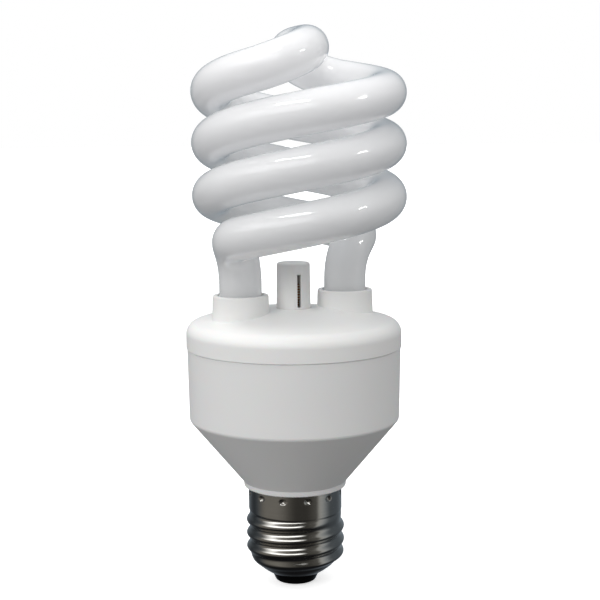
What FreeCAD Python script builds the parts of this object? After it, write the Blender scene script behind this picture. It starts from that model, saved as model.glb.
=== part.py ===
import FreeCAD, Part
import math
import os

# A spiral energy saving bulb: a double-spiral glass tube on a moulded ballast housing with a
# screw base. Millimetres, +Z up the lamp, origin at the middle of the bottom contact.

V = FreeCAD.Vector

# Screw base
contact_proud = 0.35          # contact plate below the black glass
contact_radius = 4.4
contact_thickness = 0.9
glass_show = 2.5              # height of black glass below the shell
glass_foot_radius = 5.3
glass_top_radius = 6.5        # where it meets the shell
glass_round = 0.5
glass_depth = 4.2             # glass that fills the shell's foot
wire_way_radius = 1.3         # hole up the middle of the glass
solder_cover = 0.5            # solder over the wire's end
shell_height = 23.6
shell_foot_radius = 7.0
shell_wall = 0.35
skirt_radius = 12.45          # plain band above the thread
thread_radius = 13.1          # over the crests
thread_depth = 0.85
thread_pitch = 3.629
thread_low_crest = 7.13       # height of a crest at the front, near the foot
thread_turns = 3.0            # full turns above that crest
thread_run_in = 0.25          # share of a turn over which the thread rises at its foot
thread_run_out = 0.2          # and sinks at its top
skirt_start = 0.35            # turns above the last crest at which the skirt begins
skirt_blend = 0.3             # turns over which it widens
foot_taper = 6.35             # height of the rounded foot of the shell
shell_levels = 72             # rings that shape the shell
shell_around = 24             # points in each of them
crimp_count = 12
crimp_radius = 1.15
crimp_dent = 0.45
crimp_drop = 1.6              # crimp marks below the shell's top edge

# Lower housing
rim_gap = 0.05
rim_radius = 13.57
rim_band = 1.5                # upright band round the neck's root
rim_round = 0.4
cone_foot_radius = 13.75
cone_height = 17.0
cup_height = 19.05
cup_draft = 0.34              # cup narrows by this to its foot
cup_round = 1.2
housing_wall = 1.6
neck_length = 5.2
neck_clearance = 0.1
neck_wall = 1.5
notch_width = 1.2             # way for the neutral wire up the outside of the neck
board_ledge_drop = 7.0        # board's underside below the seam
rib_thickness = 1.2
rib_reach = 2.6
rib_height = 8.0
rib_angle = 45.0              # from +X to the first of four

# Top cover
cover_radius = 28.35
cover_reveal = 0.22           # cover stands out over the cup's rim
cover_rise = 10.3             # seam to the top of the dome
dome_sag = 3.9                # middle of the dome above its rim
cover_round = 3.5
cover_wall = 1.6
seam_bevel = 0.22
tongue_length = 3.4
tongue_wall = 1.2
tongue_clearance = 0.1
bead_height = 0.22
bead_width = 1.0
bead_play = 0.1               # groove longer than the bead at each end
bead_root = 0.3               # bead's foot inside the tongue
collar_rise = 4.1             # collar tops above the dome
collar_radius = 7.25
collar_draft = 0.3            # collar grows by this to its foot
collar_round = 0.35
sleeve_depth = 5.0            # sleeve of the collar inside the cover
sleeve_wall = 1.2

# Sensor post
post_rise = 11.9
post_radius = 4.33
post_foot_radius = 4.5
post_wall = 0.9
post_round = 0.6
post_slit_width = 1.05
post_slit_low = 0.4           # slit's foot above the dome
post_slit_length = 8.6
post_slit_count = 3
post_slit_turn = -70.0        # degrees from +X to the first slit
post_flange_radius = 6.2
post_flange_thickness = 1.0
post_clearance = 0.1
photocell_radius = 2.5
photocell_thickness = 2.0
photocell_rise = 4.0          # its middle above the dome
photocell_spread = 2.6        # between its two leads

# Spiral tube
tube_radius = 5.5
glass_wall = 0.9
leg_x = 13.7
leg_y = 5.5
leg_above_collar = 2.4        # straight leg above the collars
leg_below_dome = 7.3          # leg's full width goes this far below the dome
leg_round = 3.3               # rounding of a leg's closed end
coil_radius = 22.4
coil_start_angle = 244.4      # degrees from +X
coil_turns = 1.478            # turns of each strand
coil_lift = 13.83             # coil's start above the straight legs
coil_pitch = 28.16            # rise of a strand in its first turn
coil_pitch_fall = 0.86        # each turn rises less than the one below
coil_lean = 2.17              # degrees, away from the front
coil_shift_x = 1.75           # coil's axis from the housing's
coil_shift_y = -1.0
foot_handle = 13.8            # reach of the bend above a leg
start_handle = 12.7           # reach of the bend into the coil
bridge_rise = 7.3             # middle of the bridge above the coil's end
bridge_angle = 294.4          # direction in which the bridge crosses the axis
bridge_start_handle = 11.6
bridge_middle_handle = 15.9
leg_steps = 5                 # rings that shape each straight leg
bend_steps = 8                # each bend
coil_steps = 36               # each strand of the coil
tube_around = 8               # points in each of them
bridge_overrun = 3            # rings past the bridge's middle, cut off there
overrun_room = 3.3            # space cut away there, in tube radii: along and up
overrun_room_wide = 4.2       # across
seal_length = 3.0             # flat pinch below a leg's end
seal_width = 7.0
seal_thickness = 2.4
seal_round = 0.8
tip_radius = 1.4              # closed exhaust tip on one leg
tip_inset = 2.2               # from the leg's axis
tip_length = 2.0
cement_inset = 0.8            # cement's top below the collar's rim
cement_gap = 0.6              # between the glass and the collar
cement_depth = 6.0
cement_clearance = 0.02

# Electrodes and leads
lead_radius = 0.25
electrode_spread = 3.6        # between an electrode's two wires
electrode_height = 8.0        # above the leg's round end
electrode_bend = 0.8
filament_radius = 0.55
filament_wire = 0.12
filament_pitch = 0.5
filament_drop = 0.3           # below the tops of its two wires
pin_radius = 0.5
pin_height = 6.0
pin_stub = 0.8                # below the board
pin_ring = 0.4                # ring of solder round a pin's foot
pin_ring_height = 0.5
pin_place = 20.6              # along x
pin_spread = 7.0
wrap_count = 3
wrap_rise = 1.1               # lowest turn above the board
wrap_step = 0.475             # turns nest into each other

# Circuit board. Places below are (x, y, degrees from +X) on a board of layout_radius; they
# spread or close up with the board.
layout_radius = 25.79
board_clearance = 0.4
board_thickness = 1.6
hole_clearance = 0.06
lead_stub = 1.2               # leads past the board's upper side
part_stand = 0.5              # bodies off the board's underside
part_lead = 0.3               # radius of the parts' leads
lead_root = 1.0               # leads begin this deep inside a body
lead_bend = 0.7
axial_stand = 0.3

choke_place = 8.5             # along x
choke_width = 16.0
choke_depth = 5.5
choke_height = 14.0
choke_limb = 2.4
choke_limb_round = 2.3
bobbin_wall = 0.6
bobbin_clearance = 0.1
bobbin_flange = 9.8
bobbin_flange_wall = 0.8
bobbin_pin_inset = 0.8
bobbin_pin_spread = 7.0
winding_radius = 4.9
winding_round = 0.5

reservoir_place = (-9.0, 6.0, 35.0)
reservoir_radius = 5.0
reservoir_length = 20.0
reservoir_spread = 5.0
reservoir_low_round = 0.8
reservoir_top_round = 0.5
groove_drop = 2.2             # rolled groove below the can's top
groove_radius = 0.6
groove_out = 0.25             # groove's middle outside the can

toroid_place = (-7.5, -13.0)
toroid_radius = 4.2
toroid_bore = 2.2
toroid_thickness = 3.0
toroid_wire = 0.25
toroid_turns = 9
toroid_play = 0.02            # wire off the ring's corners

inductor_place = (0.0, 21.6, 0.0)
inductor_radius = 3.0
inductor_height = 8.0
inductor_waist = 1.4
inductor_flange = 1.0
inductor_spread = 4.0
inductor_winding_inset = 0.3

transistor_places = ((18.5, -7.0, 90.0), (18.5, 7.0, 90.0))
transistor_width = 7.8
transistor_thickness = 3.0
transistor_height = 11.0
transistor_stand = 3.5
transistor_round = 0.4
transistor_hole = 1.6
transistor_hole_rise = 3.0
transistor_pitch = 2.3

diode_places = ((-10.5, -18.3, 0.0), (-0.5, -18.3, 0.0), (-7.0, -22.0, 0.0), (3.0, -22.0, 0.0))
diode_radius = 1.35
diode_length = 5.2
diode_spread = 7.0
trigger_place = (0.0, 5.5, 90.0)
trigger_radius = 0.9
trigger_length = 4.0
trigger_spread = 6.5
resistor_places = ((16.1, -14.3, 0.0), (10.5, -18.5, 0.0), (13.5, 13.0, 0.0), (10.5, 18.6, 0.0))
resistor_radius = 0.95
resistor_length = 6.2
resistor_spread = 8.0
resistor_cap = 0.15           # end caps stand out by this
resistor_cap_length = 1.6

film_width = 10.0
film_thickness = 4.5
film_height = 9.0
film_spread = 7.5
resonance_place = (-16.8, -3.0, 90.0)
coupling_place = (1.0, 14.2, 0.0)
snubber_place = (6.0, -14.0, 0.0)
snubber_scale = 0.75          # snubber against the larger film capacitors
disc_places = ((-13.0, 14.5, 45.0), (-19.5, 7.0, 90.0))
disc_radius = 3.0
disc_thickness = 2.2
disc_spread = 5.0

fuse_radius = 1.9
fuse_length = 9.0
fuse_round = 0.6
fuse_rise = 8.5               # its foot above the black glass
supply_wire = 0.45
supply_core = 0.35
live_place = (-1.5, -3.0)     # its hole in the board
live_bend = 6.0
live_straight = 6.0           # above the fuse
live_drop = 12.0              # bend below the board
neutral_gap = 9               # the wire goes up between this crimp mark and the next
neutral_inset = 1.2           # inside the neck's bore
neutral_bend = 0.9
neutral_drop = 0.6            # wire below the neck's foot
neutral_climb = 4.0           # wire between neck and shell

skin_patch = 12               # rings in each face of a smooth skin

# Heights and sizes that follow
contact_top = contact_thickness
glass_foot = contact_proud
shell_foot = glass_foot + glass_show
shell_top = shell_foot + shell_height
glass_top = shell_foot + glass_depth
rim_z = shell_top + rim_gap
cone_foot = rim_z + rim_band
cone_top = cone_foot + cone_height
seam_z = cone_top + cup_height
dome_z = seam_z + cover_rise
collar_top = dome_z + collar_rise
post_top = dome_z + post_rise
leg_top = collar_top + leg_above_collar
leg_end = dome_z - leg_below_dome
leg_foot = leg_end - leg_round
seal_foot = leg_foot - seal_length
root_radius = thread_radius - thread_depth
neck_radius = skirt_radius - shell_wall - neck_clearance
neck_bore = neck_radius - neck_wall
neck_foot = rim_z - neck_length
neutral_angle = 360.0 * neutral_gap / crimp_count
neutral_path = root_radius - shell_wall - neck_clearance - supply_core
cup_top_radius = cover_radius - cover_reveal
cup_foot_radius = cup_top_radius - cup_draft
dome_radius = (cover_radius * cover_radius + dome_sag * dome_sag) / (2 * dome_sag)
cup_inner = cup_top_radius - housing_wall
cup_inner_foot = cup_foot_radius - housing_wall
tongue_radius = cup_inner - tongue_clearance
board_under = seam_z - board_ledge_drop
board_top = board_under + board_thickness
board_radius = cup_inner_foot - board_clearance
layout_share = board_radius / layout_radius
choke_x = choke_place * layout_share
pin_x = pin_place * layout_share
part_top = board_under - part_stand
lead_top = board_top + lead_stub
coil_start = leg_top + coil_lift
choke_middle = part_top - choke_height / 2
choke_window = choke_height / 2 - choke_limb
bobbin_inner = choke_limb_round + bobbin_clearance
bobbin_outer = bobbin_inner + bobbin_wall
bobbin_half = choke_window - bobbin_clearance
ring_mean = (toroid_radius + toroid_bore) / 2
ring_reach = math.hypot(toroid_radius - toroid_bore, toroid_thickness) / 2 + toroid_wire + toroid_play
toroid_z = part_top - ring_mean - ring_reach - toroid_wire
fuse_foot = glass_top + fuse_rise
fuse_top = fuse_foot + fuse_length


def rz(point):
    return V(point[0], 0, point[1])


def turned(start, *steps):
    """Turns a closed outline of (radius, height) corners; a pair is an arc's middle and end."""
    edges = []
    at = start
    for step in steps:
        if isinstance(step[0], tuple):
            middle, end = step
            edges.append(Part.Arc(rz(at), rz(middle), rz(end)).toShape())
        else:
            end = step
            edges.append(Part.makeLine(rz(at), rz(end)))
        at = end
    edges.append(Part.makeLine(rz(at), rz(start)))
    return Part.Face(Part.Wire(edges)).revolve(V(0, 0, 0), V(0, 0, 1), 360)


def rounded(shape, radius, height, fillet):
    """Rounds the circular edge of this radius at this height."""
    found = []
    for edge in shape.Edges:
        if edge.Degenerated or not isinstance(edge.Curve, Part.Circle):
            continue
        if abs(edge.Curve.Radius - radius) < 1e-4 and abs(edge.Curve.Center.z - height) < 1e-4:
            found.append(edge)
    return shape.makeFillet(fillet, found)


def rod(radius, low, high, x=0.0, y=0.0):
    """An upright round bar."""
    return Part.makeCylinder(radius, high - low, V(x, y, low))


def bored(shape, radius, x=0.0, y=0.0):
    """Cuts a round hole right through, from top to bottom."""
    box = shape.BoundBox
    return shape.cut(rod(radius, box.ZMin - 1, box.ZMax + 1, x, y))


def block(width, depth, height, x, y, low):
    """A box centred on x and y."""
    return Part.makeBox(width, depth, height, V(x - width / 2, y - depth / 2, low))


def polar(radius, degrees, z=0.0):
    angle = math.radians(degrees)
    return V(radius * math.cos(angle), radius * math.sin(angle), z)


def turned_about_axis(shape, degrees):
    """A copy, turned about the lamp's axis."""
    copy = shape.copy()
    copy.rotate(V(0, 0, 0), V(0, 0, 1), degrees)
    return copy


def ring_swell(around):
    """A smooth ring runs inside its control points; this puts it at the radius asked for."""
    return 3 / (2 + math.cos(2 * math.pi / around))


def end_cap(face, ring):
    """Flat face over the end of a tube-like face that lies nearest to this ring."""
    middle = sum(ring[1:], ring[0]) * (1 / len(ring))
    rims = [edge for edge in face.Edges if edge.isClosed() and not edge.isSeam(face)]
    rims.sort(key=lambda edge: edge.BoundBox.Center.distanceToPoint(middle))
    return Part.Face(Part.Wire(rims[0]))


def skinned(rings):
    """A solid with a smooth closed side, shaped by rings of control points, and flat ends."""
    around = len(rings[0])
    spans = len(rings) - 3
    side = Part.BSplineSurface()
    side.buildFromPolesMultsKnots(rings, [4] + [1] * (spans - 1) + [4], [1] * (around + 1),
                                  list(range(spans + 1)), list(range(around + 1)), False, True, 3, 3)
    stops = list(range(0, spans - skin_patch // 2, skin_patch)) + [spans]
    faces = []
    for low, high in zip(stops, stops[1:]):
        patch = side.copy()
        patch.segment(low, high, 0, around)
        faces.append(patch.toShape())
    shell = Part.Shell(faces + [end_cap(faces[0], rings[0]), end_cap(faces[-1], rings[-1])])
    shell.sewShape()
    solid = Part.makeSolid(shell)
    if solid.Volume < 0:
        solid.reverse()
    return solid


def bent_wire(points, radius, bend):
    """A round wire along straight runs joined by tangent arcs of one bend radius."""
    edges = []
    at = points[0]
    for before, corner, after in zip(points, points[1:], points[2:]):
        to_corner = (corner - before).normalize()
        from_corner = (after - corner).normalize()
        turn = to_corner.getAngle(from_corner)
        back = bend * math.tan(turn / 2)
        arc_start = corner - to_corner * back
        arc_end = corner + from_corner * back
        inward = (from_corner - to_corner).normalize()
        middle = corner + inward * (bend / math.cos(turn / 2) - bend)
        edges.append(Part.makeLine(at, arc_start))
        edges.append(Part.Arc(arc_start, middle, arc_end).toShape())
        at = arc_end
    edges.append(Part.makeLine(at, points[-1]))
    section = Part.Wire(Part.makeCircle(radius, points[0], points[1] - points[0]))
    return Part.Wire(edges).makePipeShell([section], True, False)


def save(name, *shapes):
    """Writes one node; loose pieces of one kind go in together."""
    shape = shapes[0] if len(shapes) == 1 else Part.makeCompound(list(shapes))
    shape.exportStep("parts/" + name + ".step")


# Screw base


def blend(share):
    """Smooth step from 0 to 1."""
    held = max(0.0, min(1.0, share))
    return held * held * (3 - 2 * held)


def thread_fade(turns_up):
    """How far the thread stands out, by its turns above the lowest crest: it runs out at both ends."""
    rise = (turns_up + thread_run_in) / (2 * thread_run_in)
    fall = (thread_turns + thread_run_out - turns_up) / thread_run_out
    return blend(min(rise, fall))


def shell_radius(angle, z):
    """The shell's outer radius: rounded foot, thread and plain skirt."""
    taper = max(0.0, shell_foot + foot_taper - z) / foot_taper
    radius = root_radius - (root_radius - shell_foot_radius) * taper * taper
    turns = (z - thread_low_crest) / thread_pitch
    radius += (skirt_radius - root_radius) * blend((turns - thread_turns - skirt_start) / skirt_blend)
    front_turn = (angle + 90.0) / 360.0
    crest = round(turns - front_turn)
    ridge = 0.5 + 0.5 * math.cos(2 * math.pi * (turns - front_turn - crest))
    return radius + thread_depth * ridge * thread_fade(crest + front_turn)


def shell_skin(inset):
    """A solid whose side is the shell's outer side, moved in by inset."""
    rings = []
    swell = ring_swell(shell_around)
    for level in range(shell_levels + 1):
        z = shell_foot + shell_height * level / shell_levels
        ring = []
        for step in range(shell_around):
            angle = 360.0 * step / shell_around - 90.0
            ring.append(polar((shell_radius(angle, z) - inset) * swell, angle, z))
        rings.append(ring)
    return skinned(rings)


def crimp_balls(radius):
    """Round punch marks under the shell's top edge."""
    balls = []
    distance = skirt_radius + crimp_radius - crimp_dent
    for mark in range(crimp_count):
        angle = 360.0 * (mark + 0.5) / crimp_count
        balls.append(Part.makeSphere(radius, polar(distance, angle, shell_top - crimp_drop)))
    return Part.makeCompound(balls)


def screw_shell(hollow):
    """Rolled shell with its thread, punched into the neck."""
    within = rod(skirt_radius - shell_wall / 2, shell_top - 2 * crimp_drop, shell_top)
    dents = crimp_balls(crimp_radius + shell_wall).common(within)
    return shell_skin(0.0).cut(hollow).fuse(dents.Solids).cut(crimp_balls(crimp_radius))


def base_insulator(hollow):
    """Black glass: it fills the shell's foot, and the contact sits in its underside."""
    inside = hollow.common(rod(thread_radius, glass_foot, glass_top))
    cone = turned((0, glass_foot), (glass_foot_radius, glass_foot), (glass_top_radius, shell_foot),
                  (glass_foot_radius, glass_top - glass_round), (0, glass_top - glass_round))
    cone = rounded(cone, glass_foot_radius, glass_foot, glass_round)
    glass = cone.fuse(inside).cut(rod(contact_radius, 0, contact_top))
    return bored(glass, wire_way_radius)


def centre_contact():
    """Pressed plate with an eyelet for the wire."""
    plate = rounded(rod(contact_radius, 0, contact_top), contact_radius, 0, contact_proud)
    return bored(plate, wire_way_radius)


def contact_solder():
    """Solder that fills the eyelet round the wire."""
    solder = rod(wire_way_radius, 0, contact_top)
    return solder.cut(rod(supply_core, solder_cover, contact_top))


# Housing


def cone_inner_height(radius):
    """Height at which the cone's inside has this radius."""
    slope = (cup_foot_radius - cone_foot_radius) / cone_height
    inset = housing_wall * math.sqrt(1 + slope * slope)
    return cone_foot + (radius - cone_foot_radius + inset) / slope


def board_ribs():
    """Four upright ribs on the cup's wall; the board rests on them."""
    root = cup_inner + housing_wall / 2
    length = root - cup_inner_foot + rib_reach
    rib = block(length, rib_thickness, rib_height, root - length / 2, 0, board_under - rib_height)
    return [turned_about_axis(rib, rib_angle + 90 * quarter) for quarter in range(4)]


def bead_ring(grow, lengthen):
    """The snap bead on the cover's tongue, or its groove."""
    middle = seam_z - tongue_length + bead_width
    low = middle - bead_width / 2 - lengthen
    high = middle + bead_width / 2 + lengthen
    root = tongue_radius - bead_root
    foot = tongue_radius + grow
    return turned((root, low), (foot, low), (foot + bead_height, middle), (foot, high), (root, high))


def wire_notch():
    """Way for the neutral wire up the outside of the neck."""
    depth = neck_radius - neutral_path + supply_core + neck_clearance / 2
    notch = block(2 * depth, notch_width, neck_length, neck_radius, 0, neck_foot - neutral_drop)
    return turned_about_axis(notch, neutral_angle)


def lower_housing():
    """Cup, cone and neck in one moulding."""
    body = turned((cup_inner, seam_z), (cup_top_radius, seam_z), (cup_foot_radius, cone_top),
                  (cone_foot_radius, cone_foot), (rim_radius, rim_z), (neck_radius, rim_z),
                  (neck_radius, neck_foot), (neck_bore, neck_foot), (neck_bore, cone_inner_height(neck_bore)),
                  (cup_inner_foot, cone_inner_height(cup_inner_foot)))
    body = rounded(body, cup_foot_radius, cone_top, cup_round)
    body = rounded(body, rim_radius, rim_z, rim_round)
    body = rounded(body, cup_top_radius, seam_z, seam_bevel)
    body = body.fuse(board_ribs())
    body = body.cut(bead_ring(tongue_clearance, bead_play))
    return body.cut([crimp_balls(crimp_radius + shell_wall + rim_gap), wire_notch()])


def dome_height(radius, inset=0.0):
    """Height of the dome's outside, or of a surface inset below it."""
    sphere = dome_radius - inset
    return dome_z - dome_radius + math.sqrt(sphere * sphere - radius * radius)


def domed_cup(radius, foot, inset, fillet):
    """A domed solid, as wide as radius, from foot up to the dome."""
    edge = dome_height(radius, inset)
    middle = (radius / 2, dome_height(radius / 2, inset))
    cup = turned((0, foot), (radius, foot), (radius, edge), (middle, (0, dome_z - inset)))
    return rounded(cup, radius, edge, fillet)


def collar(x, y):
    """One collar and its sleeve, as a solid plug."""
    far_side = math.hypot(x, y) + collar_radius + collar_draft
    low = dome_height(far_side) - cover_wall / 2
    plug = Part.makeCone(collar_radius + collar_draft, collar_radius, collar_top - low, V(x, y, low))
    plug = rounded(plug, collar_radius, collar_top, collar_round)
    sleeve_foot = dome_z - cover_wall - sleeve_depth
    return plug.fuse(rod(tube_radius + cement_gap + sleeve_wall, sleeve_foot, dome_z, x, y))


def top_cover():
    """Domed cap with its two collars, the post's hole and the tongue that snaps into the cup."""
    cover = domed_cup(cover_radius, seam_z, 0.0, cover_round)
    cover = rounded(cover, cover_radius, seam_z, seam_bevel)
    tongue_inner = tongue_radius - tongue_wall
    funnel_foot = seam_z + cover_wall
    funnel_top = funnel_foot + cover_wall
    cover = cover.fuse([rod(tongue_radius, seam_z - tongue_length, funnel_foot), bead_ring(0.0, 0.0)])
    hollow_radius = cover_radius - cover_wall
    hollow = domed_cup(hollow_radius, funnel_top, cover_wall, cover_round - cover_wall)
    funnel = Part.makeCone(tongue_inner, hollow_radius, cover_wall, V(0, 0, funnel_foot))
    throat = rod(tongue_inner, seam_z - tongue_length, funnel_foot)
    cover = cover.cut(hollow.fuse([funnel, throat]))
    legs = [(side * leg_x, side * leg_y) for side in (-1, 1)]
    cover = cover.fuse([collar(x, y) for x, y in legs])
    for x, y in legs:
        cover = bored(cover, tube_radius + cement_gap, x, y)
    return bored(cover, post_foot_radius + post_clearance)


def sensor_post():
    """Slotted post: it goes in from below, up to its flange."""
    flange_top = dome_height(post_flange_radius, cover_wall)
    flange_foot = flange_top - post_flange_thickness
    post = turned((0, flange_foot), (post_flange_radius, flange_foot), (post_flange_radius, flange_top),
                  (post_foot_radius, flange_top), (post_foot_radius, dome_z), (post_radius, post_top),
                  (0, post_top))
    post = rounded(post, post_radius, post_top, post_round)
    post = post.cut(rod(post_radius - post_wall, flange_foot, post_top - post_wall))
    slit = block(2 * post_foot_radius, post_slit_width, post_slit_length, post_foot_radius, 0,
                 dome_z + post_slit_low)
    turns = [post_slit_turn + 360.0 * number / post_slit_count for number in range(post_slit_count)]
    return post.cut([turned_about_axis(slit, turn) for turn in turns])


# Spiral tube


def smooth_bend(start, start_handle_end, end_handle_end, end):
    """Points of a cubic curve between two places, with its two handles' ends."""
    points = []
    for step in range(bend_steps + 1):
        t = step / bend_steps
        s = 1 - t
        points.append(start * s ** 3 + start_handle_end * (3 * s * s * t)
                      + end_handle_end * (3 * s * t * t) + end * t ** 3)
    return points


def leaned(point):
    """Puts a point of the upright coil where the leaning, shifted coil has it."""
    foot = V(0, 0, leg_top)
    turn = FreeCAD.Rotation(V(1, 0, 0), -coil_lean)
    return turn.multVec(point - foot) + foot + V(coil_shift_x, coil_shift_y, 0)


def strand_place(side, turns):
    """Control point of a strand after this many turns; the two strands are half a turn apart."""
    reach = coil_radius * ring_swell(coil_steps / coil_turns)
    place = polar(reach * side, coil_start_angle + 360 * turns)
    place.z = coil_start + coil_pitch * turns - coil_pitch_fall * turns * turns
    return place


def strand_direction(side, turns):
    around = polar(2 * math.pi * coil_radius * side, coil_start_angle + 360 * turns + 90)
    around.z = coil_pitch - 2 * coil_pitch_fall * turns
    return around.normalize()


def strand_points(side):
    """Middle line of one strand, from its straight leg's foot to the middle of the bridge."""
    coil = [strand_place(side, coil_turns * step / coil_steps) for step in range(coil_steps + 1)]
    bridge_middle = V(0, 0, coil[-1].z + bridge_rise)
    across = polar(side, bridge_angle)
    bridge = smooth_bend(coil[-1], coil[-1] + strand_direction(side, coil_turns) * bridge_start_handle,
                         bridge_middle - across * bridge_middle_handle, bridge_middle)
    upper = [leaned(point) for point in coil + bridge[1:]]
    into_coil = leaned(coil[0] + strand_direction(side, 0)) - upper[0]
    leg = V(-leg_x * side, -leg_y * side, leg_top)
    foot = smooth_bend(leg, leg + V(0, 0, foot_handle), upper[0] - into_coil * start_handle, upper[0])
    length = leg_top - leg_end - glass_wall
    straight = [leg - V(0, 0, length * (1 - step / leg_steps)) for step in range(1, leg_steps)]
    return straight + foot[:-1] + upper


def leg_rounding(side, inset):
    """Middles and radii of the rings that close a leg's end, from the outermost up."""
    rings = []
    for degrees in (90, 72, 54, 36, 18):
        angle = math.radians(degrees)
        z = leg_end + inset - leg_round * math.sin(angle)
        radius = tube_radius - inset - leg_round * (1 - math.cos(angle))
        rings.append((V(-leg_x * side, -leg_y * side, z), radius))
    return rings


def tube_skin(side, inset):
    """One strand and its leg as a solid bar, inset from the glass's outer side."""
    points = strand_points(side)
    points += strand_points(-side)[-2:-2 - bridge_overrun:-1]
    places = leg_rounding(side, inset) + [(point, tube_radius - inset) for point in points]
    middles = [middle for middle, radius in places]
    ahead = [after - before for before, after in zip(middles[:1] + middles, middles[1:] + middles[-1:])]
    across = V(1, 0, 0)
    swell = ring_swell(tube_around)
    rings = []
    for (middle, radius), direction in zip(places, ahead):
        direction.normalize()
        across = (across - direction * across.dot(direction)).normalize()
        beside = direction.cross(across)
        ring = []
        for step in range(tube_around):
            around = polar(radius * swell, 360.0 * step / tube_around)
            ring.append(middle + across * around.x + beside * around.y)
        rings.append(ring)
    return skinned(rings)


def past_bridge(side):
    """The space past the middle of the bridge, where the other strand goes on."""
    reach = overrun_room * tube_radius
    low = strand_place(side, coil_turns).z + bridge_rise - reach / 2
    space = block(reach, overrun_room_wide * tube_radius, reach, side * reach / 2, 0, low)
    space = turned_about_axis(space, bridge_angle)
    space.rotate(V(0, 0, leg_top), V(1, 0, 0), -coil_lean)
    space.translate(V(coil_shift_x, coil_shift_y, 0))
    return space


def wire_places(side):
    """Where an electrode's two wires pass the pinch."""
    half = electrode_spread / 2
    return [(-leg_x * side, (-leg_y + step) * side) for step in (-half, half)]


def leg_pinch(side):
    """The flat pinch round the electrode's wires, rooted in the leg's closed end."""
    pinch = block(seal_thickness, seal_width, leg_end - seal_foot, -leg_x * side, -leg_y * side, seal_foot)
    return pinch.makeFillet(seal_round, upright_edges(pinch))


def exhaust_tip():
    """Sealed end of the tube through which the glass was pumped empty, beside the left pinch."""
    return rod(tip_radius, leg_foot - tip_length, leg_end, -leg_x + tip_inset, -leg_y)


def spiral_tube(side, *ends):
    """One strand of the sealed glass tube; the two meet in the middle of the bridge."""
    glass = tube_skin(side, 0.0).cut(past_bridge(side)).fuse([leg_pinch(side), *ends])
    wires = [rod(lead_radius, seal_foot, leg_end, x, y) for x, y in wire_places(side)]
    return glass.cut([tube_skin(side, glass_wall), *wires])


def tube_cement(side):
    """Cement between a leg and its collar."""
    high = collar_top - cement_inset
    x = -leg_x * side
    y = -leg_y * side
    return bored(rod(tube_radius + cement_gap, high - cement_depth, high, x, y), tube_radius + cement_clearance, x, y)


def electrode_wire(x, y, step):
    """One support: down through the pinch, out to its pin and round it."""
    run = board_top + wrap_rise
    pin_place = -leg_y + step * pin_spread / 2
    beside = pin_place - step * (pin_radius + lead_radius)
    wire = bent_wire([V(x, y, leg_end + electrode_height), V(x, y, run), V(-pin_x, beside, run)],
                     lead_radius, electrode_bend)
    wraps = []
    for wrap in range(wrap_count):
        middle = V(-pin_x, pin_place, run + wrap_step * wrap)
        wraps.append(bored(Part.makeTorus(pin_radius + lead_radius, lead_radius, middle), pin_radius, -pin_x, pin_place))
    return wire.fuse(wraps)


def electrode():
    """Filament and its two supports."""
    line = Part.makeHelix(filament_pitch, electrode_spread, filament_radius)
    section = Part.Wire(Part.makeCircle(filament_wire, V(filament_radius, 0, 0), V(0, 1, 0)))
    filament = line.makePipeShell([section], True, True)
    filament.translate(V(-filament_radius, 0, 0))
    filament.rotate(V(0, 0, 0), V(1, 0, 0), -90)
    top = leg_end + electrode_height - filament_drop
    filament.translate(V(-leg_x, -leg_y - electrode_spread / 2, top))
    return filament.fuse([electrode_wire(x, y, step) for (x, y), step in zip(wire_places(1), (-1, 1))])


# Circuit board and what is on it. Every lead notes its hole here; the board is drilled last.

holes = []


def drilled(x, y, radius=part_lead):
    """Notes a hole for the board, and gives the place back."""
    holes.append((x, y, radius + hole_clearance))
    return x, y


def on_board(place):
    return place[0] * layout_share, place[1] * layout_share


def in_row(place, offsets):
    """Places in a row through a part's middle."""
    x, y = on_board(place)
    direction = polar(1.0, place[2])
    return [(x + direction.x * offset, y + direction.y * offset) for offset in offsets]


def pair(place, spread):
    return in_row(place, (-spread / 2, spread / 2))


def lead_rods(places, low, radius=part_lead):
    """Straight leads from a body up through the board."""
    return [rod(radius, low, lead_top, *drilled(x, y, radius)) for x, y in places]


def placed(shape, place):
    x, y = on_board(place)
    shape.rotate(V(0, 0, 0), V(0, 0, 1), place[2])
    shape.translate(V(x, y, 0))
    return shape


def upright_edges(shape):
    return [edge for edge in shape.Edges if edge.BoundBox.ZLength > 0.9 * shape.BoundBox.ZLength]


def round_edges(shape):
    return [edge for edge in shape.Edges if len(edge.Vertexes) == 1]


def film_capacitor(place, scale=1.0):
    """A moulded box that hangs from two leads."""
    height = film_height * scale
    depth = film_thickness * scale
    body = block(film_width * scale, depth, height, 0, 0, part_top - height)
    body = placed(body.makeFillet(depth / 6, upright_edges(body)), place)
    return body.fuse(lead_rods(pair(place, film_spread * scale), part_top - lead_root))


def axial_part(place, radius, length, spread, cap=0.0):
    """A body lying along its own lead, whose ends turn up through the board."""
    middle = board_under - radius - cap - axial_stand
    first, last = [drilled(x, y) for x, y in pair(place, spread)]
    lead = bent_wire([V(*first, lead_top), V(*first, middle), V(*last, middle), V(*last, lead_top)],
                     part_lead, lead_bend)
    body = Part.makeCylinder(radius, length, V(-length / 2, 0, middle), V(1, 0, 0))
    if cap > 0:
        for start in (-length / 2, length / 2 - resistor_cap_length):
            body = body.fuse(Part.makeCylinder(radius + cap, resistor_cap_length, V(start, 0, middle), V(1, 0, 0)))
    return placed(body, place).fuse(lead)


def ceramic_disc(place):
    """A dipped disc on two leads."""
    middle = part_top - disc_radius
    disc = Part.makeCylinder(disc_radius, disc_thickness, V(0, -disc_thickness / 2, middle), V(0, 1, 0))
    disc = placed(disc.makeFillet(disc_thickness * 0.4, round_edges(disc)), place)
    return disc.fuse(lead_rods(pair(place, disc_spread), middle))


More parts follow.
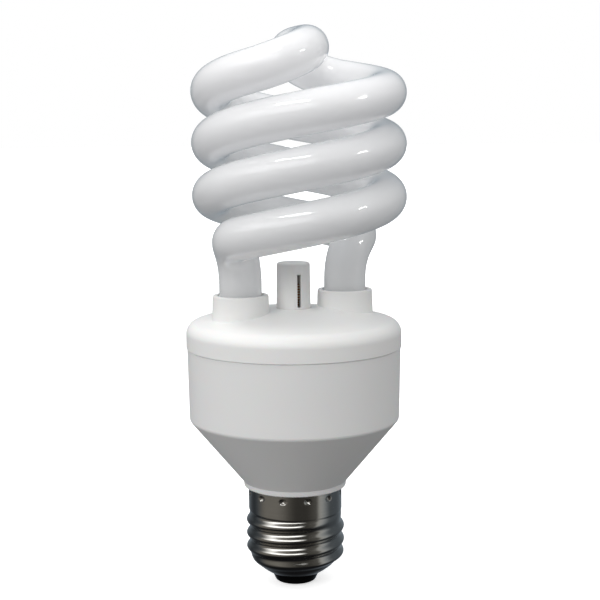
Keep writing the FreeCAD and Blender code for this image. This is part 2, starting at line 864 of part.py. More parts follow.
def transistor(place):
    """Flat moulded body with a screw hole and three legs."""
    top = board_under - transistor_stand
    low = top - transistor_height
    body = block(transistor_width, transistor_thickness, transistor_height, 0, 0, low)
    body = body.makeFillet(transistor_round, upright_edges(body))
    hole = Part.makeCylinder(transistor_hole, transistor_thickness,
                             V(0, -transistor_thickness / 2, low + transistor_hole_rise), V(0, 1, 0))
    legs = lead_rods(in_row(place, (-transistor_pitch, 0, transistor_pitch)), top - lead_root)
    return placed(body.cut(hole), place).fuse(legs)


def diode(place):
    return axial_part(place, diode_radius, diode_length, diode_spread)


def trigger_diode():
    return axial_part(trigger_place, trigger_radius, trigger_length, trigger_spread)


def resistor(place):
    return axial_part(place, resistor_radius, resistor_length, resistor_spread, resistor_cap)


def photocell():
    """Round light sensor that faces the first slit, with two leads down to the board."""
    middle = dome_z + photocell_rise
    body = Part.makeCylinder(photocell_radius, photocell_thickness, V(-photocell_thickness / 2, 0, middle),
                             V(1, 0, 0))
    places = pair((0, 0, post_slit_turn + 90), photocell_spread)
    leads = [rod(lead_radius, board_under - lead_stub, middle, *drilled(x, y, lead_radius)) for x, y in places]
    return turned_about_axis(body, post_slit_turn).fuse(leads)


def electrolytic_capacitor():
    """Can with a rolled groove, hanging towards the base."""
    low = part_top - reservoir_length
    can = rod(reservoir_radius, low, part_top)
    can = rounded(can, reservoir_radius, low, reservoir_low_round)
    can = rounded(can, reservoir_radius, part_top, reservoir_top_round)
    groove = Part.makeTorus(reservoir_radius + groove_out, groove_radius, V(0, 0, part_top - groove_drop))
    can = placed(can.cut(groove), reservoir_place)
    return can.fuse(lead_rods(pair(reservoir_place, reservoir_spread), part_top - lead_root))


def core_half(direction):
    """Half of the choke's core: a back, two outer limbs and a round middle limb."""
    low = choke_middle if direction > 0 else choke_middle - choke_height / 2
    half = block(choke_depth, choke_width, choke_height / 2, choke_x, 0, low)
    window_low = choke_middle if direction > 0 else choke_middle - choke_window
    window = block(2 * choke_depth, choke_width - 2 * choke_limb, choke_window, choke_x, 0, window_low)
    limb_low = low if direction > 0 else low + choke_limb / 2
    limb = rod(choke_limb_round, limb_low, limb_low + choke_height / 2 - choke_limb / 2, choke_x, 0)
    return half.cut(window).fuse(limb)


def choke_bobbin():
    """Spool round the middle limb, with four pins into the board."""
    low = choke_middle - bobbin_half
    high = choke_middle + bobbin_half
    flange_width = choke_width - 2 * choke_limb - 2 * bobbin_clearance
    flanges = [block(bobbin_flange, flange_width, bobbin_flange_wall, choke_x, 0, start)
               for start in (low, high - bobbin_flange_wall)]
    spool = bored(rod(bobbin_outer, low, high, choke_x, 0).fuse(flanges), bobbin_inner, choke_x, 0)
    pin_out = bobbin_flange / 2 - bobbin_pin_inset
    places = [(choke_x + across * pin_out, along * bobbin_pin_spread / 2)
              for across in (-1, 1) for along in (-1, 1)]
    return spool.fuse(lead_rods(places, high - bobbin_flange_wall))


def choke_winding():
    half = bobbin_half - bobbin_flange_wall
    coil = rod(winding_radius, choke_middle - half, choke_middle + half, choke_x, 0)
    coil = coil.makeFillet(winding_round, round_edges(coil))
    return bored(coil, bobbin_outer, choke_x, 0)


def toroid_core():
    """Ferrite ring of the drive transformer, standing on edge."""
    x, y = on_board(toroid_place)
    start = V(x, y - toroid_thickness / 2, toroid_z)
    ring = Part.makeCylinder(toroid_radius, toroid_thickness, start, V(0, 1, 0))
    return ring.cut(Part.makeCylinder(toroid_bore, toroid_thickness, start, V(0, 1, 0)))


def toroid_turn(number):
    """One turn of wire round the ring; the upper ones run up through the board."""
    outward = polar(1.0, 360.0 * (number + 0.5) / toroid_turns)
    outward = V(outward.x, 0, outward.y)
    place = V(*on_board(toroid_place), toroid_z) + outward * ring_mean
    ring = Part.makeTorus(ring_reach, toroid_wire, place, outward.cross(V(0, 1, 0)))
    if outward.z < 0:
        return ring
    tip = place + outward * ring_reach
    return ring.fuse(lead_rods([(tip.x, tip.y)], tip.z, toroid_wire))


def filter_inductor():
    """Ferrite drum of the mains filter, on two leads."""
    low = part_top - inductor_height
    drum = rod(inductor_radius, low, part_top)
    waist = bored(rod(inductor_radius, low + inductor_flange, part_top - inductor_flange), inductor_waist)
    drum = placed(drum.cut(waist), inductor_place)
    return drum.fuse(lead_rods(pair(inductor_place, inductor_spread), part_top - inductor_flange / 2))


def filter_winding():
    low = part_top - inductor_height + inductor_flange
    coil = rod(inductor_radius - inductor_winding_inset, low, part_top - inductor_flange)
    return placed(bored(coil, inductor_waist), inductor_place)


def wrap_pin(side, step):
    """A post on the board, for an electrode's wire."""
    x, y = drilled(side * pin_x, side * leg_y + step * pin_spread / 2, pin_radius)
    pin = rod(pin_radius, board_under - pin_stub, board_top + pin_height, x, y)
    return pin.fuse(rod(pin_radius + pin_ring, board_top, board_top + pin_ring_height, x, y))


def fusible_resistor():
    """Sleeved resistor in the live wire, in the neck."""
    body = rod(fuse_radius, fuse_foot, fuse_top)
    return body.makeFillet(fuse_round, round_edges(body))


def live_wire_to_contact():
    return rod(supply_core, solder_cover, fuse_foot)


def live_wire_to_board():
    x, y = drilled(*on_board(live_place), supply_wire)
    return bent_wire([V(0, 0, fuse_top), V(0, 0, fuse_top + live_straight), V(x, y, board_under - live_drop),
                      V(x, y, lead_top)], supply_wire, live_bend)


def neutral_wire():
    """From the board down inside the neck, round its foot and up beside the shell."""
    inner = polar(neck_bore - neutral_inset, neutral_angle)
    outer = polar(neutral_path, neutral_angle)
    drilled(inner.x, inner.y, supply_core)
    under = V(0, 0, neck_foot - neutral_drop - supply_core)
    return bent_wire([inner + V(0, 0, lead_top), inner + under, outer + under,
                      outer + V(0, 0, neck_foot + neutral_climb)], supply_core, neutral_bend)


def circuit_board():
    """Round board on the cup's ribs, drilled for every lead."""
    board = rod(board_radius, board_under, board_top)
    return board.cut([rod(radius, board_under, board_top, x, y) for x, y, radius in holes])


os.makedirs("parts", exist_ok=True)

shell_hollow = shell_skin(shell_wall)
save("screw_shell", screw_shell(shell_hollow))
save("base_insulator", base_insulator(shell_hollow))
save("centre_contact", centre_contact())
save("contact_solder", contact_solder())
save("lower_housing", lower_housing())
save("top_cover", top_cover())
save("sensor_post", sensor_post())
save("photocell", photocell())
save("spiral_tube_left", spiral_tube(1, exhaust_tip()))
save("spiral_tube_right", spiral_tube(-1))
save("tube_cement_left", tube_cement(1))
save("tube_cement_right", tube_cement(-1))
save("electrode_left", electrode())
save("electrode_right", turned_about_axis(electrode(), 180))
save("electrolytic_capacitor", electrolytic_capacitor())
save("choke_core", core_half(1), core_half(-1))
save("choke_bobbin", choke_bobbin())
save("choke_winding", choke_winding())
save("toroid_core", toroid_core())
save("toroid_windings", *[toroid_turn(number) for number in range(toroid_turns)])
save("filter_inductor", filter_inductor())
save("filter_winding", filter_winding())
save("switching_transistors", *[transistor(place) for place in transistor_places])
save("rectifier_diodes", *[diode(place) for place in diode_places])
save("resonance_capacitor", film_capacitor(resonance_place))
save("coupling_capacitor", film_capacitor(coupling_place))
save("snubber_capacitor", film_capacitor(snubber_place, snubber_scale))
save("ceramic_capacitors", *[ceramic_disc(place) for place in disc_places])
save("resistors", *[resistor(place) for place in resistor_places])
save("trigger_diode", trigger_diode())
save("wrap_pins", *[wrap_pin(side, step) for side in (-1, 1) for step in (-1, 1)])
save("fusible_resistor", fusible_resistor())
save("live_wire", live_wire_to_contact(), live_wire_to_board())
save("neutral_wire", neutral_wire())
save("circuit_board", circuit_board())
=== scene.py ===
import math

import bmesh
import bpy
from mathutils import Matrix, Vector


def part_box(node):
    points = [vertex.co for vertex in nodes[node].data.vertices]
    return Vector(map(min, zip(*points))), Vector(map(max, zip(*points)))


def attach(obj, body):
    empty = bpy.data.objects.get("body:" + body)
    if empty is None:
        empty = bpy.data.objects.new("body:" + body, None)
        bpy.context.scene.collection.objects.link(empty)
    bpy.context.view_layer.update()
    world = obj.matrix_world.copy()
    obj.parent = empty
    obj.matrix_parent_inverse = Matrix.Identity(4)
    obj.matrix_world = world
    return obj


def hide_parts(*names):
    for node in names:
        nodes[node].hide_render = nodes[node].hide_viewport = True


# A spiral energy saving bulb, standing upright on its contact. Metres, +Z up the lamp, and -Y is
# the side that the photograph shows.
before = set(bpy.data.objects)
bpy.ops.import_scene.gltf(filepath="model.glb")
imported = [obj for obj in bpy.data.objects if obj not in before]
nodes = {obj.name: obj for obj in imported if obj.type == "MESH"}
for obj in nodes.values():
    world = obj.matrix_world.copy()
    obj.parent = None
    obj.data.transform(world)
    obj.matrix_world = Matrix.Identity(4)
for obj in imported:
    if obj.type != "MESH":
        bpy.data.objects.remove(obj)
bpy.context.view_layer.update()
mm = 0.001

# Screw shell: thin brass sheet, plated with nickel, rolled into the lamp's thread and crimped to
# the neck by a row of punch marks. The plating is bright, with faint draw lines round the shell.


class Wire:
    """A value inside a material. Sums written on it become Math nodes."""

    def __init__(self, socket):
        self.socket = socket
        self.tree = socket.id_data

    def node(self, kind, settings, inputs, output=0):
        """Adds any other node: its settings first, then the values or links of its sockets."""
        made = self.tree.nodes.new(kind)
        for name, value in settings.items():
            setattr(made, name, value)
        for name, value in inputs.items():
            if isinstance(value, Wire):
                self.tree.links.new(value.socket, made.inputs[name])
            else:
                made.inputs[name].default_value = value
        return Wire(made.outputs[output])

    def maths(self, operation, *values):
        return self.node("ShaderNodeMath", {"operation": operation}, dict(enumerate(values)))

    def __add__(self, other):
        return self.maths("ADD", self, other)

    def __sub__(self, other):
        return self.maths("SUBTRACT", self, other)

    def __rsub__(self, other):
        return self.maths("SUBTRACT", other, self)

    def __mul__(self, other):
        return self.maths("MULTIPLY", self, other)

    __radd__ = __add__
    __rmul__ = __mul__

    def noise(self, per_metre, detail=2.0, stretch=(1, 1, 1)):
        """Fine random variation, from 0 to 1, at this many grains to the metre."""
        place = self.node("ShaderNodeMapping", {}, {"Vector": self, "Scale": stretch})
        return self.node("ShaderNodeTexNoise", {}, {"Vector": place, "Scale": per_metre, "Detail": detail})

    def between(self, low, high):
        """0 below low and 1 above high, with a smooth step between."""
        return self.node("ShaderNodeMapRange", {"interpolation_type": "SMOOTHSTEP"},
                         {"Value": self, "From Min": low, "From Max": high})

    def within(self, begin, full, fade, end):
        """1 between full and fade, and 0 outside begin and end, with smooth steps between."""
        return self.between(begin, full) * (1.0 - self.between(fade, end))

    def blend(self, first, second):
        """A mix of two colours or wires, by this value."""
        mixed = {"Factor": self, 6: first, 7: second}
        return self.node("ShaderNodeMix", {"data_type": "RGBA"}, mixed, output=2)

    def tint(self, first, second):
        """A colour between two plain ones, by this value."""
        return self.blend((*first, 1.0), (*second, 1.0))

    def bump(self, depth):
        """The surface's normal, with this value as a relief of this depth in metres."""
        return self.node("ShaderNodeBump", {}, {"Height": self, "Strength": 1.0, "Distance": depth})


class Finish:
    """One material: its fixed values are set here, and what varies over it is linked by vary()."""

    def __init__(self, name, **values):
        self.material = bpy.data.materials.new(name)
        self.material.use_nodes = True
        self.surface = self.material.node_tree.nodes["Principled BSDF"]
        for socket, value in values.items():
            target = self.surface.inputs[socket.replace("_", " ")]
            target.default_value = (*value, 1.0) if isinstance(value, tuple) else value
        shader = Wire(self.surface.outputs["BSDF"])
        self.place = shader.node("ShaderNodeTexCoord", {}, {}, output="Object")

    def vary(self, **wires):
        for socket, wire in wires.items():
            target = self.surface.inputs[socket.replace("_", " ")]
            wire.tree.links.new(wire.socket, target)

    def height(self):
        """Height above the contact, in metres."""
        return self.place.node("ShaderNodeSeparateXYZ", {}, {"Vector": self.place}, output="Z")

    def put_on(self, *names):
        for name in names:
            nodes[name].data.materials.clear()
            nodes[name].data.materials.append(self.material)


plating = Finish("nickel_plating", Metallic=1.0, IOR=1.5)
drawn = plating.place.noise(60, stretch=(0.4, 0.4, 40))
handled = plating.place.noise(260, detail=4.0)
plating.vary(Base_Color=handled.tint((0.62, 0.61, 0.58), (0.74, 0.73, 0.70)),
             Roughness=0.07 + 0.06 * handled + 0.05 * drawn,
             Normal=(drawn * 0.5 + handled * 0.5).bump(0.03 * mm))

shell_low, shell_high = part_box("screw_shell")
shell_foot, shell_top = shell_low.z, shell_high.z
foot_radius = 7.0 * mm
foot_height = 6.35 * mm
sheet_thickness = 0.35 * mm
edge_round = 0.1 * mm
root_radius = 12.25 * mm
skirt_radius = 12.45 * mm
thread_depth = 0.85 * mm
thread_pitch = 3.629 * mm
low_crest = 7.13 * mm
mark_count = 12
mark_drop = 1.6 * mm
mark_ball = 0.8 * mm
mark_dent = 0.6 * mm

# Along the thread, places and lengths are in turns from its lowest crest in front.
thread_turns = 3.0
run_in_start = -0.42
run_in = 0.6
run_out = 0.16
faint_end = 0.45
faint_run_out = 0.3
faint_share = 0.14
skirt_lead = 0.34
skirt_slant = 0.35
skirt_step = 0.22


def step_up(share):
    """Smooth step from 0 to 1."""
    held = max(0.0, min(1.0, share))
    return held * held * (3 - 2 * held)


def punch_mark(angle, z):
    """Depth of the nearest of the round dents under the shell's top edge."""
    spacing = 2 * math.pi / mark_count
    off = (angle / spacing - 0.5) % 1.0
    across = min(off, 1.0 - off) * spacing * skirt_radius
    distance = math.hypot(across, shell_top - mark_drop - z)
    if distance >= mark_ball:
        return 0.0
    return max(0.0, math.sqrt(mark_ball ** 2 - distance ** 2) - mark_ball + mark_dent)


def thread_fade(along):
    """Share of the thread's full depth at this many turns: it runs in, and out in two steps."""
    main = step_up((thread_turns + run_out - along) / run_out)
    faint = step_up((thread_turns + faint_end - along) / faint_run_out)
    return step_up((along - run_in_start) / run_in) * ((1 - faint_share) * main + faint_share * faint)


def shell_radius(angle, z):
    """The shell's outer radius: rounded foot, rolled thread that runs out at both ends, skirt."""
    taper = max(0.0, shell_foot + foot_height - z) / foot_height
    radius = root_radius - (root_radius - foot_radius) * taper * taper
    turns = (z - low_crest) / thread_pitch
    front_turn = (math.degrees(angle) % 360 + 90.0) % 360 / 360.0
    crest = round(turns - front_turn)
    skirt_edge = thread_turns + skirt_lead + skirt_slant * max(0.0, 0.5 - abs(front_turn - 0.5))
    radius += (skirt_radius - root_radius) * step_up((turns - skirt_edge) / skirt_step)
    ridge = 0.5 + 0.5 * math.cos(2 * math.pi * (turns - front_turn - crest))
    return radius + thread_depth * ridge * thread_fade(crest + front_turn) - punch_mark(angle, z)


def skin_mesh(name, rings, closed_ends=False):
    """A smooth mesh through rings of points; without closed ends, the last ring joins the first."""
    around = len(rings[0])
    corners = [point for ring in rings for point in ring]
    faces = []
    for ring in range(len(rings) - (1 if closed_ends else 0)):
        here = ring * around
        above = (ring + 1) % len(rings) * around
        for step in range(around):
            beside = (step + 1) % around
            faces.append((here + step, here + beside, above + beside, above + step))
    if closed_ends:
        faces.append(tuple(reversed(range(around))))
        faces.append(tuple(range(len(corners) - around, len(corners))))
    mesh = bpy.data.meshes.new(name)
    mesh.from_pydata(corners, [], faces)
    mesh.polygons.foreach_set("use_smooth", [True] * len(faces))
    piece = bpy.data.objects.new(name, mesh)
    bpy.context.collection.objects.link(piece)
    return piece


def shell_ring(z, inset, around=216):
    ring = []
    for step in range(around):
        angle = 2 * math.pi * step / around
        radius = shell_radius(angle, z) - inset
        ring.append((radius * math.cos(angle), radius * math.sin(angle), z))
    return ring


shell_levels = 236
shell_height = shell_top - shell_foot
heights = [shell_foot + shell_height * level / shell_levels for level in range(shell_levels + 1)]
outer_rings = [shell_ring(z, 0.0) for z in heights[1:-1]]
foot_rings = [shell_ring(shell_foot, sheet_thickness - edge_round), shell_ring(shell_foot, edge_round)]
top_rings = [shell_ring(shell_top, edge_round), shell_ring(shell_top, sheet_thickness - edge_round)]
inner_rings = [shell_ring(z, sheet_thickness) for z in reversed(heights[1:-1:2])]
shell = skin_mesh("plated_shell", foot_rings + outer_rings + top_rings + inner_rings)
shell.data.materials.append(plating.material)
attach(shell, "root")
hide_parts("screw_shell")

# Base insulator: black glass poured into the shell's foot while hot. It holds the centre contact
# clear of the shell, and its skin is fire-polished and glossy.
vitrite = Finish("black_glass", Roughness=0.12, IOR=1.52)
flow = vitrite.place.noise(180, detail=3.0)
vitrite.vary(Base_Color=flow.tint((0.002, 0.002, 0.002), (0.006, 0.006, 0.006)),
             Normal=flow.bump(0.05 * mm))
vitrite.put_on("base_insulator")

# Centre contact: a brass plate with a hole in its middle, set in the insulator's underside. A drop
# of dull solder fills the hole round the end of the live wire.
brass = Finish("contact_brass", Metallic=1.0)
worn = brass.place.noise(500, detail=4.0)
brass.vary(Base_Color=worn.tint((0.55, 0.42, 0.20), (0.75, 0.62, 0.36)), Roughness=0.25 + 0.2 * worn)
brass.put_on("centre_contact")

solder = Finish("solder", Metallic=1.0)
crystals = solder.place.noise(900, detail=5.0)
solder.vary(Base_Color=crystals.tint((0.45, 0.45, 0.46), (0.68, 0.68, 0.69)),
            Roughness=0.3 + 0.25 * crystals, Normal=crystals.bump(0.08 * mm))
solder.put_on("contact_solder")

# Lower housing: cup, cone and neck in one moulding of white fire-resistant plastic, with the satin
# skin that a fine spark-eroded mould leaves. Its neck is crimped into the screw shell.


def moulded_white(name, shade, roughness, dimming=0.985):
    """White moulded plastic: a fine grain, and a very slight unevenness of shade and gloss."""
    plastic = Finish(name, Subsurface_Weight=0.08, Subsurface_Scale=0.4 * mm, IOR=1.5)
    grain = plastic.place.noise(3500, detail=2.0)
    cloud = plastic.place.noise(45, detail=3.0)
    dimmer = tuple(level * dimming for level in shade)
    plastic.vary(Base_Color=cloud.tint(dimmer, shade), Roughness=roughness + 0.08 * cloud + 0.05 * grain,
                 Normal=grain.bump(0.012 * mm))
    return plastic


moulded_white("housing_white", (0.83, 0.83, 0.825), 0.36).put_on("lower_housing")

# Top cover: the domed cap with a collar round each leg of the tube, moulded in the same plastic, here
# given a slightly lighter shade and a little more gloss than the housing. Its tongue snaps into the lower
# housing's cup.
moulded_white("cover_white", (0.87, 0.87, 0.86), 0.34).put_on("top_cover")

# Sensor post: a small moulded stalk of the same plastic, pushed through the cap from below up to its
# flange. The slot in front lets daylight in to the photocell. Its colour is a little darker than the
# housing's, as painted shade under the coil.
moulded_white("post_white", (0.80, 0.80, 0.79), 0.34).put_on("sensor_post")

# Photocell: a round ceramic chip behind the post's slot, lacquered over a track that runs to and
# fro across it. Two tinned leads carry it down to the board.
sensor = Finish("sensor_lacquer", Roughness=0.25, Coat_Weight=0.6)
chip_height = sensor.height()
track = chip_height.maths("PINGPONG", chip_height, 0.35 * mm).between(0.12 * mm, 0.2 * mm)
sensor.vary(Base_Color=track.tint((0.55, 0.22, 0.10), (0.75, 0.66, 0.52)))
sensor.put_on("photocell")

# Spiral tube: clear glass tube, coated white inside, wound hot on a mandrel into two strands that meet at
# the top. Painted shade darkens the coating's colour towards the legs and at the rim where the tube is
# seen edge-on, and a faint even glow is painted light.
# The small even emission is painted light: a faint glow standing in for light shining through the coated
# glass.
coated = Finish("coated_glass", IOR=1.52, Coat_Weight=1.0, Coat_Roughness=0.02, Coat_IOR=1.55,
                Roughness=0.5, Subsurface_Weight=1.0, Subsurface_Radius=[1.0, 1.0, 1.0],
                Subsurface_Scale=14.0 * mm, Emission_Color=(0.90, 0.95, 1.0), Emission_Strength=0.12)
# The coating's colour is darker from the top of the coil down to the legs: painted shade, with noise to
# wobble where it turns.
shade_wobble = coated.place.noise(120, detail=3.0)
shade_towards_legs = (coated.height() + 0.004 * shade_wobble).between(0.068, 0.145)
coating_with_shade = shade_towards_legs.tint((0.56, 0.56, 0.56), (0.74, 0.735, 0.74))
# Where the tube is seen edge-on its colour turns darker and cooler: painted shade for the clear glass
# wall.
facing = coated.place.node("ShaderNodeLayerWeight", {}, {"Blend": 0.5}, output="Facing")
coated.vary(Base_Color=facing.between(0.72, 1.0).blend(coating_with_shade, (0.50, 0.54, 0.56, 1.0)))

tube_radius = 5.5 * mm
leg_x = 13.7 * mm
leg_y = 5.5 * mm
leg_stand = 2.4 * mm
leg_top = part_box("top_cover")[1].z + leg_stand
pinch_length = 3.0 * mm
leg_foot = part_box("spiral_tube_right")[0].z + pinch_length
leg_round = 3.3 * mm
coil_radius = 22.4 * mm
coil_start_angle = math.radians(244.4)
coil_turns = 1.478
coil_start = leg_top + 13.83 * mm
coil_pitch = 28.16 * mm
coil_pitch_fall = 0.86 * mm
coil_lean = math.radians(2.17)
coil_shift = Vector((1.75, -1.0, 0)) * mm
foot_reach = 13.8 * mm
start_reach = 12.7 * mm
bridge_rise = 7.3 * mm
bridge_angle = math.radians(294.4)
bridge_start_reach = 11.6 * mm
bridge_middle_reach = 15.9 * mm


def bent(start, start_reach_end, end_reach_end, end, steps=28):
    """Points of a cubic curve between two places, without the last."""
    points = []
    for step in range(steps):
        t = step / steps
        s = 1 - t
        points.append(start * s ** 3 + start_reach_end * (3 * s * s * t)
                      + end_reach_end * (3 * s * t * t) + end * t ** 3)
    return points


def leaned(point):
    """Puts a point of the upright coil where the leaning, shifted coil has it."""
    foot = Vector((0, 0, leg_top))
    return Matrix.Rotation(-coil_lean, 3, "X") @ (point - foot) + foot + coil_shift


def strand_place(side, turns):
    """A place on one strand's coil, before the coil leans."""
    angle = coil_start_angle + 2 * math.pi * turns
    height = coil_start + coil_pitch * turns - coil_pitch_fall * turns * turns
    return Vector((side * coil_radius * math.cos(angle), side * coil_radius * math.sin(angle), height))


def strand_heading(side, turns):
    """The way that the strand runs at that place."""
    angle = coil_start_angle + 2 * math.pi * turns
    around = 2 * math.pi * coil_radius * side
    rise = coil_pitch - 2 * coil_pitch_fall * turns
    return Vector((-around * math.sin(angle), around * math.cos(angle), rise)).normalized()


def strand_line(side, steps=150):
    """Middle line of one strand, from its leg's closed foot to just short of the bridge's middle."""
    coil = [strand_place(side, coil_turns * step / steps) for step in range(steps)]
    end = strand_place(side, coil_turns)
    middle = Vector((0, 0, end.z + bridge_rise))
    across = Vector((math.cos(bridge_angle), math.sin(bridge_angle), 0)) * side
    bridge = bent(end, end + strand_heading(side, coil_turns) * bridge_start_reach,
                  middle - across * bridge_middle_reach, middle)
    upper = [leaned(point) for point in coil + bridge]
    into = leaned(coil[0] + strand_heading(side, 0)) - upper[0]
    leg = Vector((-leg_x * side, -leg_y * side, leg_top))
    foot = bent(leg, leg + Vector((0, 0, foot_reach)), upper[0] - into * start_reach, upper[0])
    leg_levels = (leg_foot + leg_round, leg_top - 4 * mm, leg_top - 1 * mm)
    straight = [Vector((leg.x, leg.y, z)) for z in leg_levels]
    return straight + foot + upper, leaned(middle)


def closed_foot(side):
    """Rings that round off a leg's end, from the outermost up."""
    rings = []
    for degrees in range(90, 0, -15):
        angle = math.radians(degrees)
        middle = Vector((-leg_x * side, -leg_y * side, leg_foot + leg_round * (1 - math.sin(angle))))
        rings.append((middle, tube_radius - leg_round * (1 - math.cos(angle))))
    return rings


def bar_rings(places, around=72):
    """Rings square to a line of places, each with its own radius."""
    middles = [middle for middle, radius in places]
    rings = []
    across = Vector((1, 0, 0))
    for number, (middle, radius) in enumerate(places):
        before = middles[max(0, number - 1)]
        after = middles[min(len(middles) - 1, number + 1)]
        heading = (after - before).normalized()
        across = (across - heading * across.dot(heading)).normalized()
        beside = heading.cross(across)
        rings.append([middle + (across * math.cos(2 * math.pi * step / around)
                                + beside * math.sin(2 * math.pi * step / around)) * radius
                      for step in range(around)])
    return rings


first_line, bridge_middle = strand_line(1)
second_line, bridge_middle = strand_line(-1)
tube_line = first_line + [bridge_middle] + second_line[::-1]
tube_places = closed_foot(1) + [(point, tube_radius) for point in tube_line] + closed_foot(-1)[::-1]
tube = skin_mesh("glass_tube", bar_rings(tube_places), closed_ends=True)
tube.data.materials.append(coated.material)
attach(tube, "root")
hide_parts("spiral_tube_left", "spiral_tube_right")

# Cement: white ceramic putty pressed in between each leg and its collar, and baked hard. Its face
# is dull and lumpy, and it is all that holds the glass in the cover.
putty = Finish("cement", Roughness=0.9)
lumps = putty.place.noise(900, detail=5.0)
putty.vary(Base_Color=lumps.tint((0.60, 0.59, 0.55), (0.74, 0.73, 0.70)), Normal=lumps.bump(0.3 * mm))
putty.put_on("tube_cement_left", "tube_cement_right")

# Electrodes, wrap pins and neutral wire: tinned wire. The electrodes' leads leave the tube through
# its pinched ends and are wound on the board's pins. The neutral wire is caught under the shell.


def small_part(name, dark, light, roughness, *names, metallic=0.0):
    """A plain, slightly uneven finish for the parts that are closed in and show only in a cut."""
    part = Finish(name, Metallic=metallic)
    grain = part.place.noise(1200, detail=3.0)
    part.vary(Base_Color=grain.tint(dark, light), Roughness=roughness + 0.15 * grain)
    part.put_on(*names)


small_part("tinned_wire", (0.50, 0.50, 0.51), (0.70, 0.70, 0.71), 0.3, "electrode_left",
           "electrode_right", "wrap_pins", "neutral_wire", metallic=1.0)

# Live wire and fusible resistor: a red insulated wire from the contact up to the board. The
# resistor in it sits in the neck, in a woven glass sleeve, and burns out first if the board fails.
small_part("red_insulation", (0.45, 0.05, 0.04), (0.60, 0.08, 0.06), 0.35, "live_wire")
small_part("glass_sleeve", (0.70, 0.69, 0.64), (0.85, 0.84, 0.80), 0.8, "fusible_resistor")

# Circuit board: a round of brown phenolic paper, drilled for every lead. It rests on ribs inside
# the lower housing, with its parts hanging below it.
small_part("phenolic_board", (0.50, 0.36, 0.16), (0.62, 0.48, 0.24), 0.5, "circuit_board")

# Electrolytic capacitor: an aluminium can in a dark shrink sleeve. It hangs down into the cone,
# away from the heat of the tube.
small_part("capacitor_sleeve", (0.03, 0.05, 0.09), (0.05, 0.07, 0.12), 0.3, "electrolytic_capacitor")

# Choke: enamelled wire on a black moulded bobbin, wrapped in yellow film tape, with a sintered
# ferrite core pushed through and round it. The ring's and the filter's cores are ferrite too.
small_part("ferrite", (0.07, 0.07, 0.075), (0.13, 0.13, 0.14), 0.7, "choke_core", "toroid_core",
           "filter_inductor")
small_part("bobbin_plastic", (0.05, 0.05, 0.05), (0.09, 0.09, 0.09), 0.5, "choke_bobbin")
small_part("winding_tape", (0.66, 0.50, 0.10), (0.80, 0.64, 0.16), 0.3, "choke_winding")

# Ring and filter windings: enamelled copper wire, a few turns by hand through the drive ring and
# a close coil round the waist of the filter's drum.
small_part("enamelled_wire", (0.40, 0.16, 0.07), (0.58, 0.27, 0.12), 0.25, "toroid_windings",
           "filter_winding", metallic=1.0)

# Transistors and rectifier diodes: black resin moulded round the chips and the roots of their
# leads. Each transistor has three leads in a row, and each diode one at either end.
small_part("black_resin", (0.02, 0.02, 0.022), (0.04, 0.04, 0.045), 0.5, "switching_transistors",
           "rectifier_diodes")

# Film capacitors: wound film, dipped in red resin for the two that carry the tube's current, and
# cast in a small yellow box for the third.
small_part("film_red", (0.36, 0.08, 0.05), (0.48, 0.13, 0.08), 0.25, "resonance_capacitor",
           "coupling_capacitor")
small_part("film_yellow", (0.66, 0.50, 0.08), (0.78, 0.62, 0.12), 0.3, "snubber_capacitor")

# Ceramic capacitors and trigger diode: ceramic discs dipped in blue lacquer, and a small round
# diode painted the same blue, with a lead at either end.
small_part("disc_blue", (0.05, 0.15, 0.38), (0.10, 0.25, 0.50), 0.3, "ceramic_capacitors",
           "trigger_diode")

# Resistors: carbon film on small ceramic rods, dipped in tan lacquer. A lead at either end is bent
# down into the board.
small_part("resistor_lacquer", (0.58, 0.46, 0.30), (0.72, 0.60, 0.42), 0.35, "resistors")

# Floor: a pale, matt studio table that the lamp stands on. Its paper glows a little, so that it
# runs into the white background without a line.
floor_radius = 6.0
floor_drop = 0.02 * mm
floor_mesh = bpy.data.meshes.new("floor")
floor_shape = bmesh.new()
bmesh.ops.create_circle(floor_shape, cap_ends=True, segments=96, radius=floor_radius)
floor_shape.to_mesh(floor_mesh)
floor_shape.free()
floor = bpy.data.objects.new("floor", floor_mesh)
floor.location.z = -floor_drop
bpy.context.collection.objects.link(floor)
paper = Finish("floor_paper", Roughness=0.8, Emission_Color=(1.0, 1.0, 1.0), Emission_Strength=0.6)
paper.vary(Base_Color=paper.place.noise(400).tint((0.88, 0.88, 0.88), (0.90, 0.90, 0.90)))
floor_mesh.materials.append(paper.material)
floor.visible_diffuse = False
floor.visible_glossy = False

# Studio lamps: a broad soft box in front to the left and one overhead light the white plastic,
# and two gloss lamps, which light nothing but the tube, put the streaks on the glass.
lit_middle = Vector((0, 0, 0.09))


def soft_lamp(name, place, width, height, power):
    """A rectangular soft box that faces the lamp."""
    data = bpy.data.lights.new(name, "AREA")
    data.shape = "RECTANGLE"
    data.size = width
    data.size_y = height
    data.energy = power
    lamp = bpy.data.objects.new(name, data)
    lamp.location = place
    lamp.rotation_euler = (lit_middle - Vector(place)).to_track_quat("-Z", "Y").to_euler()
    bpy.context.collection.objects.link(lamp)
    return lamp


soft_lamp("key_box", (-0.58, -0.70, 0.48), 0.50, 0.40, 2.7).visible_glossy = False
soft_lamp("top_box", (-0.15, -0.08, 0.98), 0.62, 0.24, 2.6).visible_glossy = False
glass_only = bpy.data.collections.new("glass_only")
glass_only.objects.link(tube)
for gloss_lamp in (soft_lamp("streak_lamp", (-0.19, -0.41, 0.98), 0.50, 0.11, 2.8),
                   soft_lamp("spark_lamp", (0.58, -0.22, 0.42), 0.14, 0.05, 0.7)):
    gloss_lamp.visible_diffuse = False
    gloss_lamp.light_linking.receiver_collection = glass_only

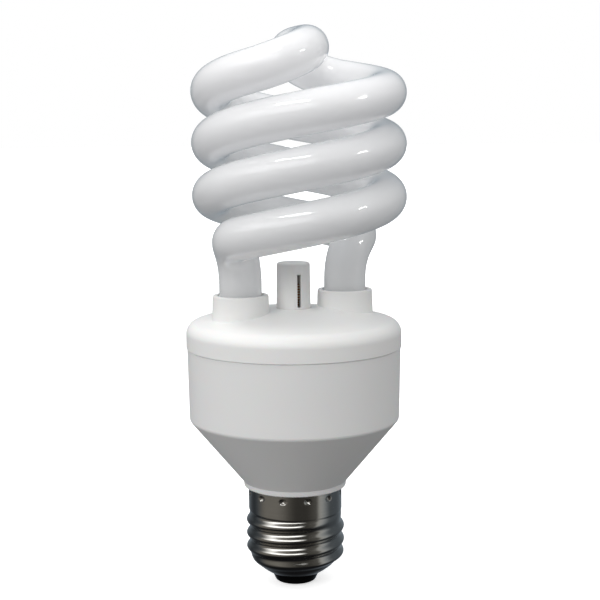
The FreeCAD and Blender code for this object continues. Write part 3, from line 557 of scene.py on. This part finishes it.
# Room: what the plated shell mirrors, turning from behind (0) by the left and the front (0.5) to
# the right. Its walls are dark, with a wide pale screen on the left, a narrow bright one on the
# right, light walls behind and a window high up in front.
world = bpy.data.worlds.new("studio")
world.use_nodes = True
bpy.context.scene.world = world
sky = world.node_tree.nodes["Background"]
air = Wire(sky.outputs["Background"])
outward = air.node("ShaderNodeTexCoord", {}, {}, output="Generated")
rightward, backward, rising = [outward.node("ShaderNodeSeparateXYZ", {}, {"Vector": outward}, output=axis)
                               for axis in ("X", "Y", "Z")]
turned = rightward.maths("ARCTAN2", rightward, 0.0 - backward) * (0.5 / math.pi) + 0.5
dark_wall = 0.04
left_screen = 0.14 * turned.within(0.155, 0.30, 0.36, 0.515)
right_screen = 0.27 * turned.within(0.645, 0.68, 0.68, 0.775)
right_wall = 0.05 * turned.between(0.57, 0.665)
walls_behind = 0.335 * (1.0 - turned.between(-0.075, 0.165)) + 0.205 * turned.between(0.825, 1.02)
walls = left_screen + right_screen + right_wall + walls_behind + dark_wall
cool_sides = turned.between(0.60, 0.82) + (1.0 - turned.between(0.17, 0.27))
cast = cool_sides.tint((1.06, 1.0, 0.90), (0.86, 1.0, 1.14))
coloured = walls.blend((0.0, 0.0, 0.0, 1.0), cast)
shaded = rising.between(-0.9, -0.15).blend((0.008, 0.008, 0.009, 1.0), coloured)
window = rising.within(0.30, 0.38, 0.64, 0.74) * turned.within(0.22, 0.34, 0.50, 0.58)
mirrored = window.blend(shaded, (1.9, 1.9, 1.9, 1.0))
overhead = rising.between(-0.95, 0.95).tint((0.08, 0.08, 0.08), (0.98, 0.98, 0.98))
room = (0.4 * backward.between(0.1, 0.9)).blend(overhead, (1.0, 1.0, 1.0, 1.0))
lit = air.node("ShaderNodeLightPath", {}, {}, output="Is Glossy Ray").blend(room, mirrored)
seen = air.node("ShaderNodeLightPath", {}, {}, output="Is Camera Ray").blend(lit, (1.0, 1.0, 1.0, 1.0))
seen.tree.links.new(seen.socket, sky.inputs["Color"])

# Camera: as far off, as high and tilted as the photograph's. Its lens axis passes a little to the
# right of the frame's middle, which the shift gives back.
camera_distance = 347.4 * mm
camera_height = 123.26 * mm
camera_pitch = math.radians(7.71)
camera_roll = math.radians(-0.488)
frame_pixels = 600.0
focal_pixels = 1331.5
axis_pixel = 293.52
camera_data = bpy.data.cameras.new("camera")
camera_data.sensor_width = 36.0
camera_data.lens = camera_data.sensor_width * focal_pixels / frame_pixels
camera_data.shift_x = (frame_pixels / 2 - axis_pixel) / frame_pixels
camera_data.clip_start = 0.01
camera = bpy.data.objects.new("camera", camera_data)
turn = Matrix.Rotation(math.pi / 2 - camera_pitch, 4, "X") @ Matrix.Rotation(camera_roll, 4, "Z")
camera.matrix_world = Matrix.Translation((0, -camera_distance, camera_height)) @ turn
bpy.context.collection.objects.link(camera)
bpy.context.scene.camera = camera
bpy.context.scene.view_settings.view_transform = "Standard"
